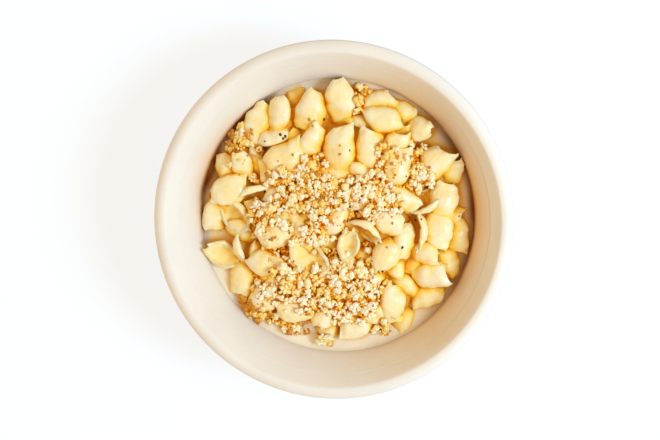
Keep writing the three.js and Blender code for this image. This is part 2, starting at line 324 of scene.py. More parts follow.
class PastaSettings(bpy.types.PropertyGroup):
    wheat: bpy.props.FloatVectorProperty(
        name="Pasta colour", description="Colour of the cooked shells",
        subtype="COLOR", default=(0.97, 0.74, 0.27),
    )
    pale: bpy.props.FloatVectorProperty(
        name="Pale pasta", description="Colour of the palest shells",
        subtype="COLOR", default=(0.96, 0.83, 0.51),
    )
    # shaded and deep are painted shade: where shells turn down, and down between the shells
    shaded: bpy.props.FloatVectorProperty(
        name="Pasta at the edges", description="Colour where shells turn down",
        subtype="COLOR", default=(1.0, 0.63, 0.05),
    )
    deep: bpy.props.FloatVectorProperty(
        name="Pasta in the gaps", description="Colour down between the shells",
        subtype="COLOR", default=(0.82, 0.29, 0.002),
    )
    length: bpy.props.FloatProperty(
        name="Shell length", description="From tip to tip",
        unit="LENGTH", default=20.5 * MM,
    )
    width: bpy.props.FloatProperty(
        name="Shell width", description="Across the middle",
        unit="LENGTH", default=14.5 * MM,
    )
    thickness: bpy.props.FloatProperty(
        name="Pasta thickness", description="Of a cooked shell's wall",
        unit="LENGTH", default=1.3 * MM,
    )


class CrumbSettings(bpy.types.PropertyGroup):
    cream: bpy.props.FloatVectorProperty(
        name="Cream crumbs", description="Colour of the palest crumbs",
        subtype="COLOR", default=(1.0, 0.90, 0.70),
    )
    pale: bpy.props.FloatVectorProperty(
        name="Pale crumbs", description="Colour of the pale crumbs",
        subtype="COLOR", default=(0.99, 0.84, 0.52),
    )
    golden: bpy.props.FloatVectorProperty(
        name="Golden crumbs", description="Colour of the golden crumbs",
        subtype="COLOR", default=(0.96, 0.69, 0.22),
    )
    toasted: bpy.props.FloatVectorProperty(
        name="Toasted crumbs", description="Colour of the browned crumbs",
        subtype="COLOR", default=(0.60, 0.23, 0.03),
    )
    size: bpy.props.FloatProperty(
        name="Clump size", description="Width of a middling clump of crumbs",
        unit="LENGTH", default=4.4 * MM,
    )


class StageSettings(bpy.types.PropertyGroup):
    key_power: bpy.props.FloatProperty(
        name="Key light", description="Power of the window light", default=12.0,
    )
    key_colour: bpy.props.FloatVectorProperty(
        name="Key colour", description="Colour of the window light",
        subtype="COLOR", default=(0.50, 0.77, 1.0),
    )
    fill: bpy.props.FloatProperty(
        name="Fill", description="Strength of the light from all round", default=0.85,
    )
    fill_colour: bpy.props.FloatVectorProperty(
        name="Fill colour", description="Colour of the light from all round",
        subtype="COLOR", default=(1.0, 0.765, 0.51),
    )
    distance: bpy.props.FloatProperty(
        name="Camera distance", description="From the rim's plane",
        unit="LENGTH", default=0.803,
    )
    tilt: bpy.props.FloatProperty(
        name="Camera tilt", description="Off the vertical",
        unit="ROTATION", subtype="ANGLE", default=math.radians(9.5),
    )


# ---- Shader maths as expressions


class Value:
    """An output socket that takes part in arithmetic, adding its nodes as it goes."""

    def __init__(self, finish, socket):
        self.finish = finish
        self.socket = socket

    def maths(self, operation, *others):
        inputs = dict(enumerate((self, *others)))
        return self.finish.node("ShaderNodeMath", {"operation": operation}, inputs)

    def __add__(self, other):
        return self.maths("ADD", other)

    __radd__ = __add__

    def __sub__(self, other):
        return self.maths("SUBTRACT", other)

    def __rsub__(self, other):
        return self.finish.node("ShaderNodeMath", {"operation": "SUBTRACT"}, {0: other, 1: self})

    def __mul__(self, other):
        return self.maths("MULTIPLY", other)

    __rmul__ = __mul__

    def between(self, low, high):
        """A smooth rise from 0 at low to 1 at high."""
        settings = {"interpolation_type": "SMOOTHSTEP"}
        inputs = {"Value": self, "From Min": low, "From Max": high}
        return self.finish.node("ShaderNodeMapRange", settings, inputs)


class Finish:
    """A material under construction."""

    def __init__(self, name):
        self.material = bpy.data.materials.new(name)
        self.material.use_nodes = True
        self.tree = self.material.node_tree
        self.tree.nodes.clear()
        self.place = self.node("ShaderNodeTexCoord", output="Object")

    def node(self, kind, settings=None, inputs=None, output=0):
        """Adds a node with its settings, then its inputs' values or links; returns one of its outputs."""
        made = self.tree.nodes.new(kind)
        for name, value in (settings or {}).items():
            setattr(made, name, value)
        for name, value in (inputs or {}).items():
            socket = made.inputs[name]
            if isinstance(value, Value):
                self.tree.links.new(value.socket, socket)
            else:
                socket.default_value = value
        return Value(self, made.outputs[output]) if len(made.outputs) else None

    def noise(self, size, detail, roughness=0.5):
        """Cloudy noise from 0 to 1, with features of the given size in metres."""
        inputs = {"Vector": self.place, "Scale": 1 / size, "Detail": detail, "Roughness": roughness}
        return self.node("ShaderNodeTexNoise", {"noise_dimensions": "3D"}, inputs)

    def attribute(self, name):
        """A number that the mesh keeps for each of its points."""
        return self.node("ShaderNodeAttribute", {"attribute_name": name}, output="Fac")

    def mix(self, mask, first, second):
        """A colour between two others."""
        sockets = {0: mask, 6: opaque(first), 7: opaque(second)}
        return self.node("ShaderNodeMix", {"data_type": "RGBA"}, sockets, output=2)

    def bump(self, height, depth, strength):
        """A normal that rises and falls with the height, by the given depth in metres."""
        inputs = {"Strength": strength, "Distance": depth, "Height": height}
        return self.node("ShaderNodeBump", None, inputs)

    def surface(self, **sockets):
        """Closes the material with one Principled shader, its sockets named with underscores for spaces."""
        inputs = {name.replace("_", " "): value for name, value in sockets.items()}
        shader = self.node("ShaderNodeBsdfPrincipled", None, inputs)
        self.node("ShaderNodeOutputMaterial", None, {"Surface": shader})
        return self.material


def opaque(colour):
    """A colour with its alpha, or a socket as it is."""
    return colour if isinstance(colour, Value) else (*colour, 1.0)


def shade(colour, factor):
    """A colour made darker or lighter by a factor."""
    return tuple(min(1.0, channel * factor) for channel in colour)


# ---- Mesh helpers


def mesh_of(name, points, *face_sets):
    """A mesh from points in millimetres and arrays of faces, each array with one number of corners."""
    mesh = bpy.data.meshes.new(name)
    mesh.vertices.add(len(points))
    metres = np.asarray(points, dtype=np.float64) * MM
    mesh.vertices.foreach_set("co", metres.astype(np.float32).ravel())
    corners = [np.asarray(faces) for faces in face_sets]
    counts = np.concatenate([np.full(len(faces), faces.shape[1]) for faces in corners])
    starts = np.concatenate([[0], np.cumsum(counts)[:-1]])
    mesh.loops.add(int(counts.sum()))
    order = np.concatenate([faces.ravel() for faces in corners])
    mesh.loops.foreach_set("vertex_index", order.astype(np.int32))
    mesh.polygons.add(len(counts))
    mesh.polygons.foreach_set("loop_start", starts.astype(np.int32))
    mesh.polygons.foreach_set("use_smooth", np.ones(len(counts), dtype=bool))
    mesh.update(calc_edges=True)
    return mesh


def points_of(mesh):
    """The places of a mesh's points, in millimetres."""
    return np.array([vertex.co[:] for vertex in mesh.vertices]) / MM


def add_piece(name, mesh, material, replaced=None):
    """Links a mesh into the scene as a piece of the dish."""
    piece = bpy.data.objects.new(name, mesh)
    bpy.context.scene.collection.objects.link(piece)
    mesh.materials.append(material)
    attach(piece, "root")
    if replaced:
        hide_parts(replaced)
    return piece


def give(mesh, name, values):
    """Keeps one number for each vertex, which the material reads."""
    layer = mesh.attributes.new(name, "FLOAT", "POINT")
    layer.data.foreach_set("value", np.asarray(values, dtype=np.float32))


def shade_under_crumbs(mesh, around):
    """Darkens what lies under and between the crumbs with painted shade."""
    values = np.empty(len(mesh.vertices), dtype=np.float32)
    layer = mesh.attributes["depth"].data
    layer.foreach_get("value", values)
    x, y, z = points_of(mesh).T
    shaded_under = np.clip((sampled(around, x, y) - z - UNDER_CRUMB_SHADE_START) / UNDER_CRUMB_SHADE_DEPTH, 0, 1)
    layer.foreach_set("value", np.maximum(values, shaded_under).astype(np.float32))


def ring_faces(rings, sides):
    """Quads between rings of points that follow each other, each ring joined to itself."""
    ring = np.arange(rings - 1)[:, None]
    side = np.arange(sides)[None, :]
    after = ring + 1
    across = (side + 1) % sides
    quads = [ring * sides + side, ring * sides + across, after * sides + across, after * sides + side]
    return np.stack([quad + 0 * (ring + side) for quad in quads], axis=-1).reshape(-1, 4)


def arc(centre_radius, centre_height, radius, start, stop, steps):
    """Points on a round part of the profile, between two angles in degrees."""
    angles = np.radians(np.linspace(start, stop, steps + 1))
    return [(centre_radius + radius * math.cos(a), centre_height + radius * math.sin(a)) for a in angles]


def stretch(start, stop, step):
    """Points on a straight line of the profile, without its ends."""
    length = math.dist(start, stop)
    shares = np.linspace(0, 1, max(2, round(length / step)) + 1)[1:-1]
    return [(start[0] + s * (stop[0] - start[0]), start[1] + s * (stop[1] - start[1])) for s in shares]


def cloud(x, y, z=0.0):
    """Smooth noise from -1 to 1 at a place in its own units."""
    return noise.noise(Vector((x, y, z)))


# ---- Shapes of the dish, in millimetres


def inner_radius(height):
    """The inner wall's radius at a height, up to the ledge."""
    if height >= WALL_START:
        return LEDGE_RADIUS - (LEDGE_HEIGHT - height) * math.tan(WALL_LEAN)
    below = FLOOR_TOP + CORNER_RADIUS - height
    return CORNER_CENTRE + math.sqrt(max(0.0, CORNER_RADIUS**2 - below**2))


def flare(top):
    """The inner wall from the rim's roll down to its straight part, with the stacking ledge's fine line."""
    base, rise = inner_radius(FLARE_START), top[1] - FLARE_START
    bend = (top[0] - base - rise * math.tan(WALL_LEAN)) / rise**2
    points = []
    for level in FLARE_LEVELS:
        up = level - FLARE_START
        step = LEDGE_LINE if level > LEDGE_HEIGHT else -LEDGE_LINE
        fade = math.exp(-abs(level - LEDGE_HEIGHT) / LEDGE_FADE)
        points.append((base + up * math.tan(WALL_LEAN) + bend * up**2 + step * fade, level))
    return points


def butter_and_shade(x, y, on_left=1.0):
    """How much butter and painted shade gather by the wall: a wide stretch on the right, a narrower one on the
    left.
    """
    turn = np.arctan2(y, x)
    right = np.exp(-((turn - BUTTER_AND_SHADE_RIGHT) / BUTTER_AND_SHADE_RIGHT_HALF) ** 2)
    left = np.exp(-(((turn % (2 * math.pi)) - BUTTER_AND_SHADE_LEFT) / BUTTER_AND_SHADE_LEFT_HALF) ** 2)
    return np.clip(right + on_left * left, 0, 1)


def side_shade(x, y):
    """How much painted shade, in tan, the wall takes to either side of the butter on the right."""
    aside = np.abs(np.arctan2(y, x) - SIDE_SHADE_CENTRE)
    return np.exp(-(((aside - SIDE_SHADE_ASIDE) / SIDE_SHADE_HALF) ** 2))


def mound_height(x, y):
    """The heap's mean surface, on which the middles of the shells lie."""
    outwards = math.hypot(x - MOUND_CENTRE[0], y - MOUND_CENTRE[1]) / MOUND_RADIUS
    dome = max(0.0, 1 - outwards**2) ** 0.6
    swell = MOUND_SWELL * math.sin(x / 11 + 0.6) * math.cos(y / 13 - 0.4)
    return SAUCE_LEVEL + MOUND_RISE * dome + swell * math.sqrt(dome)


def shell_form(rng, settings, mouth_shows):
    """One pasta shell about its own middle: length along X, back up, with its own twist, bend and flare.

    Returns an array of rings along the length, each a closed loop of points round the wall's section.
    """
    length, width = settings.length / MM, settings.width / MM
    along = np.sin(np.linspace(-1, 1, SHELL_STATIONS) * math.pi / 2)[:, None]
    wrap = np.linspace(-1, 1, SHELL_ACROSS)[None, :]
    out = np.abs(along)
    lips = np.abs(wrap) ** 2.2
    ends = np.clip((out - 0.5) / 0.5, 0, 1) ** 1.6
    # one end is cut where the shell is still wide and gapes, the other closes further
    wide, narrow = rng.uniform(0.48, 0.74), rng.uniform(0.34, 0.58)
    if mouth_shows:
        wide, narrow = wide * 0.3, narrow * 0.26
    tip = np.where(along * rng.choice((-1, 1)) > 0, wide, narrow)
    girth = tip + (1 - tip) * np.clip(1 - out ** rng.uniform(1.8, 2.7), 0, 1) ** 0.85
    half_wrap = math.radians(rng.uniform(98, 114) if mouth_shows else rng.uniform(122, 148))
    tip_wrap = math.radians(rng.uniform(58, 84))
    angle = wrap * (tip_wrap + (half_wrap - tip_wrap) * np.clip(1 - out**2.2, 0, 1) ** 0.8)
    roll_in = 1 - 0.16 * np.clip((np.abs(wrap) - 0.55) / 0.45, 0, 1) ** 2
    tall = width * (rng.uniform(0.54, 0.66) if mouth_shows else rng.uniform(0.68, 0.84))
    y = width / 2 * girth * np.sin(angle) * roll_in
    z = tall / 2 * girth * np.cos(angle) * roll_in - SHELL_ARCH * (1 - girth)
    y = y * (1 + rng.uniform(0.05, 0.4) * ends * lips)
    z = z + rng.uniform(0.3, 1.5) * ends * lips + rng.uniform(-0.2, 0.9) * ends
    x = length / 2 * along * (1 - rng.uniform(0.03, 0.15) * ends * (1 - lips))
    twist = math.radians(rng.uniform(-24, 24)) * along
    y, z = y * np.cos(twist) - z * np.sin(twist), y * np.sin(twist) + z * np.cos(twist)
    side = rng.choice((-1, 1))
    x = x + side * rng.uniform(0.05, 0.28) * y * ends
    y = y + side * rng.uniform(0.5, 2.6) * along * out + rng.uniform(-1.2, 1.2) * along**2
    y = y * (1 + rng.uniform(-0.12, 0.12) * along)
    z = z + rng.uniform(-0.5, 0.5) * along
    seed = rng.uniform(0, 90)
    soft = np.array([[cloud(3.2 * a, 2.1 * w, seed) for w in wrap[0]] for a in along[:, 0]])
    z = z + 1.1 * soft * np.cos(angle / 2)
    y = y * (1 + 0.14 * soft)
    outer = np.stack([x, y, z], axis=-1)
    lengthwise = np.gradient(outer, axis=0)
    crosswise = np.gradient(outer, axis=1)
    normal = np.cross(lengthwise, crosswise)
    normal /= np.linalg.norm(normal, axis=-1, keepdims=True) + 1e-9
    if normal[SHELL_STATIONS // 2, SHELL_ACROSS // 2, 2] > 0:
        normal = -normal
    thickness = settings.thickness / MM * (LIP_SWELL if mouth_shows else 1)
    wall = thickness * (1 - 0.4 * ends - 0.12 * lips)[..., None]
    inner = outer + normal * wall
    crosswise /= np.linalg.norm(crosswise, axis=-1, keepdims=True) + 1e-9
    right = (outer[:, -1] + inner[:, -1]) / 2 + crosswise[:, -1] * 0.35 * wall[:, -1]
    left = (outer[:, 0] + inner[:, 0]) / 2 - crosswise[:, 0] * 0.35 * wall[:, 0]
    return np.concatenate([outer, right[:, None], inner[:, ::-1], left[:, None]], axis=1)


def shell_faces(stations, loop):
    """The faces of a shell whose rings are closed loops: outer face, lip, inner face and lip."""
    across = loop // 2 - 1
    caps, corners = [], []
    for ring, flip in ((0, False), (stations - 1, True)):
        base = ring * loop
        outer = base + np.arange(across)
        inner = base + loop - 2 - np.arange(across)
        quads = np.stack([outer[:-1], inner[:-1], inner[1:], outer[1:]], axis=-1)
        tris = np.array([[outer[-1], inner[-1], base + across], [outer[0], base + loop - 1, inner[0]]])
        caps.append(quads[:, ::-1] if flip else quads)
        corners.append(tris[:, ::-1] if flip else tris)
    return np.concatenate([ring_faces(stations, loop), *caps]), np.concatenate(corners)


def turned_about(points, heading, pitch, roll):
    """Points turned about the origin, by angles in degrees."""
    angles = Euler((math.radians(roll), math.radians(-pitch), math.radians(heading)), "XYZ")
    return points @ np.array(angles.to_matrix()).T


def settled(points, x, y, z):
    """A shell's points at their place, moved inwards in three steps to clear the wall above the sauce.

    Any point that still reaches the wall is then drawn in.
    """
    for _ in range(3):
        moved = points + (x, y, z)
        above = moved[moved[:, 2] > SAUCE_LEVEL]
        limit = LEDGE_RADIUS - (LEDGE_HEIGHT - above[:, 2]) * math.tan(WALL_LEAN) - WALL_CLEARANCE
        over = max(0.0, float(np.max(np.hypot(above[:, 0], above[:, 1]) - limit))) if len(above) else 0.0
        reach = math.hypot(x, y)
        x, y = x * (1 - over / reach), y * (1 - over / reach)
    return inside_wall(points + (x, y, z))


def inside_wall(points):
    """Draws points in towards the axis until they clear the inner wall."""
    limit = np.array([inner_radius(level) for level in points[:, 2]]) - WALL_CLEARANCE
    share = np.minimum(1, limit / np.maximum(np.hypot(points[:, 0], points[:, 1]), 1e-6))
    return points * np.stack([share, share, np.ones(len(points))], axis=-1)


def open_shell(place):
    """Whether a listed shell shows its mouth."""
    return abs(place[4]) > OPEN_ROLL


def filler_places(rng, spacing, clear, lift):
    """Places for shells between or under the listed ones, on a loose triangular grid.

    A place is left out near a listed shell's middle, by an open mouth and at the heap's edge.
    """
    places = []
    by_mouth = max(clear + 2.5, MOUTH_ROOM)
    rows = math.ceil(MOUND_RADIUS / (spacing * math.sqrt(3) / 2))
    for row in range(-rows, rows + 1):
        for column in range(-rows, rows + 1):
            x = MOUND_CENTRE[0] + (column + (row % 2) / 2) * spacing + rng.uniform(-2, 2)
            y = MOUND_CENTRE[1] + row * spacing * math.sqrt(3) / 2 + rng.uniform(-2, 2)
            turn, pitch, roll = rng.uniform(-90, 90), rng.uniform(-20, 20), rng.uniform(-48, 48)
            crowded = any(
                math.hypot(x - other[0], y - other[1]) < (by_mouth if open_shell(other) else clear)
                for other in TOP_SHELLS
            )
            if not crowded and math.hypot(x, y) < MOUND_RADIUS - 7:
                places.append((x, y, turn, pitch, roll, lift + rng.uniform(-0.5, 0.5)))
    return places


# ---- Finishes


def fibre_finish(settings):
    """Moulded fibre: off-white and matt, with the grain of pressed pulp, a butter mark by the food, and
    painted shade.
    """
    f = Finish("moulded_fibre")
    fibre = tuple(settings.fibre)
    tan, shadow_brown, rim_shade_grey = (0.76, 0.58, 0.34), (0.26, 0.075, 0.004), (0.64, 0.65, 0.66)
    cloudy = f.noise(0.03, 3).between(0.35, 0.7)
    grain = f.noise(0.0012, 4, 0.65)
    flecks = f.noise(0.0035, 2, 0.6).between(0.66, 0.8)
    colour = f.mix(cloudy, fibre, shade(fibre, 0.965))
    colour = f.mix(flecks * 0.25, colour, shade(fibre, 0.8))
    # painted shade in tan on the inner wall to either side of the butter on the right
    colour = f.mix(f.attribute("tan") * (0.3 + 0.14 * cloudy), colour, tan)
    # a butter mark by the food, with painted shade gathered on the shaded right and where the food shadows the
    # left
    wet = f.attribute("wet") * (0.75 + 0.5 * f.noise(0.012, 3))
    colour = f.mix(wet, colour, tuple(settings.butter))
    # painted contact shadow in dark brown where the food meets the wall, and painted shade in the ledge's line
    shadow_line = f.attribute("edge") * (0.7 + 0.7 * f.noise(0.007, 3))
    colour = f.mix(shadow_line, colour, shadow_brown)
    # painted shade in grey low on the outside of the rim's roll, where it faces down
    colour = f.mix(f.attribute("trim") * 0.8, colour, rim_shade_grey)
    height = grain * 0.6 + f.noise(0.006, 2) * 0.8
    return f.surface(
        Base_Color=colour,
        Roughness=0.72 + grain * 0.15,
        Specular_IOR_Level=0.1,
        Normal=f.bump(height, 0.00012, 0.7),
    )


def sauce_finish(name, cream, melted):
    """Thick cheese sauce: glossy and a little lumpy, with painted shade beside and between the shells and a
    painted contact shadow at the wall.
    """
    f = Finish(name)
    buttery_cream, cheddar, contact_shadow_brown = (0.90, 0.66, 0.30), (0.88, 0.60, 0.21), (0.20, 0.055, 0.003)
    cloudy = f.noise(0.012, 3).between(0.35, 0.7)
    rich = f.noise(0.004, 2).between(0.55, 0.8)
    colour = f.mix(cloudy, cream, shade(cream, 0.93))
    colour = f.mix(rich * 0.25, colour, buttery_cream)
    depth = f.attribute("depth")
    # painted shade: darker and more orange beside and between the shells
    colour = f.mix(depth.between(0.05, 0.55), colour, cheddar)
    colour = f.mix(depth.between(0.4, 0.95), colour, melted)
    # painted contact shadow in dark brown at the wall
    edge = f.attribute("edge")
    colour = f.mix(edge, colour, contact_shadow_brown)
    height = f.noise(0.003, 2) + f.noise(0.0008, 1) * 0.15
    return f.surface(
        Base_Color=colour,
        Roughness=0.30 + cloudy * 0.12,
        Specular_IOR_Level=0.1,
        Coat_Weight=(1 - depth) * (1 - edge.between(0.0, 0.3)) * 0.6,
        Coat_Roughness=0.2,
        Subsurface_Weight=0.12,
        Subsurface_Radius=(0.0025, 0.0015, 0.0007),
        Subsurface_Scale=1.0,
        Normal=f.bump(height, 0.0003, 0.6),
    )


def pasta_finish(settings):
    """Cooked pasta under a film of sauce: yellow, faintly ribbed lengthwise and moist, with painted shade in
    the gaps and painted light on the tops.
    """
    f = Finish("cooked_pasta")
    warm_yellow, creamy = (1.0, 0.70, 0.16), (0.92, 0.86, 0.66)
    tone, depth, rib = f.attribute("tone"), f.attribute("depth"), f.attribute("rib")
    cloudy = f.noise(0.005, 4, 0.6).between(0.35, 0.7)
    film = f.noise(0.009, 3, 0.55).between(0.38, 0.66)
    bare = 1 - film
    # crown marks the tops: their creamy colour is partly the sauce's film and partly painted light
    crown = 1 - depth.between(0.02, 0.34)
    flutes = (rib * 0.3).maths("SINE")
    ribs = rib.maths("SINE")
    colour = f.mix(tone, tuple(settings.wheat), tuple(settings.pale))
    colour = f.mix(cloudy * 0.35, colour, warm_yellow)
    colour = f.mix(crown * (0.25 + 0.5 * film), colour, creamy)
    # painted shade on steep sides and down in the gaps
    colour = f.mix(depth.between(0.18, 0.55) * 0.92, colour, tuple(settings.shaded))
    colour = f.mix(depth.between(0.42, 0.92), colour, tuple(settings.deep))
    height = f.noise(0.0026, 3) * 0.8 + film * 0.8 + flutes * 0.35 + ribs * bare * 0.1
    return f.surface(
        Base_Color=colour,
        Roughness=0.40 - film * 0.10,
        Specular_IOR_Level=0.05,
        Subsurface_Weight=0.15,
        Subsurface_Radius=(0.0025, 0.0014, 0.0005),
        Subsurface_Scale=1.0,
        Coat_Weight=crown * 0.55,
        Coat_Roughness=0.2,
        Normal=f.bump(height, 0.00035, 0.8),
    )


def crumb_finish(name, colour, browned):
    """A dry toasted crumb: rough and pitted, browner here and there, and orange in the gaps and on steep sides
    as painted shade.
    """
    f = Finish(name)
    yolk, amber, burnt_orange = (1.0, 0.72, 0.20), (0.98, 0.52, 0.03), (0.80, 0.27, 0.002)
    tone = f.attribute("tone")
    spots = f.noise(0.0011, 3, 0.6).between(0.45, 0.7)
    mixed = f.mix(tone, shade(colour, 0.94), shade(colour, 1.06))
    mixed = f.mix(spots * 0.2, mixed, browned)
    # painted shade in the gaps between crumbs and on their steep sides
    depth = f.attribute("depth")
    mixed = f.mix(depth.between(0.12, 0.45) * 0.75, mixed, yolk)
    mixed = f.mix(depth.between(0.28, 0.58) * 0.92, mixed, amber)
    mixed = f.mix(depth.between(0.44, 0.84), mixed, burnt_orange)
    height = f.noise(0.0007, 3, 0.7)
    return f.surface(
        Base_Color=mixed,
        Roughness=0.6 + spots * 0.2,
        Specular_IOR_Level=0.03,
        Subsurface_Weight=0.15,
        Subsurface_Radius=(0.0015, 0.0008, 0.0003),
        Subsurface_Scale=1.0,
        Normal=f.bump(height, 0.00012, 0.7),
    )


def flake_finish(name, dark, light):
    """Flakes of cracked pepper or seasoning, speckled between two colours."""
    f = Finish(name)
    speckle = f.noise(0.0004, 2).between(0.4, 0.65)
    return f.surface(
        Base_Color=f.mix(speckle, dark, light),
        Roughness=0.6 + speckle * 0.2,
        Specular_IOR_Level=0.2,
    )


def floor_finish():
    """A table that gives off some light of its own, so that it stays white and takes only a faint shadow."""
    f = Finish("pale_floor")
    cloudy = f.noise(0.4, 2)
    colour = f.mix(cloudy, (0.33, 0.39, 0.47), (0.34, 0.40, 0.48))
    return f.surface(
        Base_Color=colour,
        Roughness=0.9 - cloudy * 0.05,
        Specular_IOR_Level=0.1,
        Emission_Color=(1.0, 1.0, 1.0, 1.0),
        Emission_Strength=0.64,
    )


# ---- Pieces


class FOOD_OT_bowl(bpy.types.Operator):
    """Turns the moulded-fibre bowl"""

    bl_idname = "food.bowl"
    bl_label = "Bowl"

    def execute(self, context):
        settings = context.scene.mac_bowl
        rim, height = settings.rim_radius / MM, settings.height / MM
        points, rings = self.turned(self.profile(rim, height), height)
        mesh = mesh_of("bowl_fibre", points, ring_faces(rings, BOWL_SIDES))
        merge_axis(mesh)
        self.marks_and_shade(mesh, rim, height)
        add_piece("bowl_fibre", mesh, fibre_finish(settings), "bowl")
        return {"FINISHED"}

    def profile(self, rim, height):
        """The section as (radius, height), from under the middle, out over the rim and in to the middle."""
        lean = math.degrees(WALL_LEAN)
        under = FLOOR_TOP - BOWL_WALL
        corner = (CORNER_CENTRE, FLOOR_TOP + CORNER_RADIUS)
        outer_corner = arc(*corner, CORNER_RADIUS + BOWL_WALL, -90, -lean, 10)
        outer_ledge = (
            LEDGE_RADIUS + BOWL_WALL * math.cos(WALL_LEAN) + LEDGE_WIDTH / 2,
            LEDGE_HEIGHT - BOWL_WALL * math.sin(WALL_LEAN),
        )
        under_roll = arc(rim - RIM_ROLL, height - RIM_ROLL, RIM_ROLL - RIM_EDGE, 90, 4, 6)
        over_roll = arc(rim - RIM_ROLL, height - RIM_ROLL, RIM_ROLL, 0, 112, 16)
        inner_corner = arc(*corner, CORNER_RADIUS, -lean, -90, 12)
        return [
            (0.0, under),
            *stretch((0.0, under), (FOOT_START, under), 5),
            (FOOT_START, under),
            *FOOT_RING,
            *outer_corner,
            *stretch(outer_corner[-1], outer_ledge, 2.5),
            outer_ledge,
            *stretch(outer_ledge, under_roll[0], 2.5),
            *under_roll,
            (rim - RIM_EDGE * 0.5, height - RIM_ROLL - 0.25),
            *over_roll,
            *flare(over_roll[-1]),
            *stretch((inner_radius(FLARE_START), FLARE_START), inner_corner[0], 1.2),
            *inner_corner,
            *stretch((CORNER_CENTRE, FLOOR_TOP), (0.0, FLOOR_TOP), 5),
            (0.0, FLOOR_TOP),
        ]

    def turned(self, profile, height):
        """The section turned about the axis, uneven as pressed pulp is, with its number of rings."""
        points = []
        for radius, level in profile:
            lift = max(0.0, level - LEDGE_HEIGHT) / (height - LEDGE_HEIGHT)
            for a in np.linspace(0, 2 * math.pi, BOWL_SIDES, endpoint=False):
                x, y = math.cos(a), math.sin(a)
                wander = BOWL_WANDER * lift * cloud(x * 1.6, y * 1.6, 7.0)
                wave = wander + BOWL_RIPPLE * cloud(x * 9, y * 9, level / 6)
                inward = 1 - BOWL_OUT_OF_ROUND * (1 + cloud(x * 1.3, y * 1.3, 3.0)) * lift
                sag = RIM_SAG * lift * (cloud(x * 1.4, y * 1.4, 11.0) - 0.6)
                out = radius * inward - abs(wave) * 0.2
                points.append((out * x, out * y, level + sag))
        return points, len(profile)

    def marks_and_shade(self, mesh, rim, height):
        """Gives each point its butter mark with painted shade, its painted shade in tan and low on the rim,
        and its painted contact shadow and ledge shade, which the finish reads.
        """
        x, y, z = points_of(mesh).T
        outwards = np.hypot(x, y)
        inside = outwards < np.array([inner_radius(min(level, LEDGE_HEIGHT)) for level in z]) + 0.6
        inside &= z > FLOOR_TOP - 0.5
        above = np.maximum(0, z - SAUCE_LEVEL - MENISCUS)
        rich = butter_and_shade(x, y)
        reach = BUTTER_AND_SHADE_REACH * (0.35 + butter_and_shade(x, y, 0.5))
        # a faint butter mark all round above the sauce, and painted shade on the shaded right and where the
        # food shadows the left
        give(mesh, "wet", np.where(inside, (0.2 + 0.8 * rich) * np.exp(-above / reach), 0))
        facing_in = np.array([
            vertex.normal.x * vertex.co.x + vertex.normal.y * vertex.co.y < 0 for vertex in mesh.vertices
        ])
        # painted shade in tan on the inner wall beside the butter on the right
        faded = np.clip((SIDE_SHADE_TOP - z) / SIDE_SHADE_FADE, 0, 1)
        give(mesh, "tan", np.where(facing_in, side_shade(x, y) * faded, 0))
        # painted contact shadow at the foot of the butter, strongest where shade gathers, and painted shade in
        # the ledge's line, stronger on the right
        rightwards = np.clip(x / np.maximum(outwards, 1), 0, 1)
        groove = LEDGE_SHADE * np.exp(-(((z - LEDGE_HEIGHT) / LEDGE_SPREAD) ** 2))
        line = (0.04 + 0.96 * rich) * np.exp(-((above / SHADOW_LINE_WIDTH) ** 2))
        give(mesh, "edge", np.where(inside, line + groove * (0.25 + 0.75 * rightwards), 0))
        # painted shade low on the rim's outside
        rolled = (outwards > rim - RIM_SHADE_WIDTH) * np.clip((height - RIM_SHADE_DROP - z) / RIM_SHADE_FADE, 0, 1)
        give(mesh, "trim", np.where(z > height - RIM_ROLL - 1, rolled, 0))


def merge_axis(mesh):
    """Joins the points that a turned profile leaves on its axis."""
    work = bmesh.new()
    work.from_mesh(mesh)
    bmesh.ops.remove_doubles(work, verts=work.verts, dist=1e-6)
    bmesh.ops.recalc_face_normals(work, faces=work.faces)
    for face in work.faces:
        face.smooth = True
    work.to_mesh(mesh)
    work.free()


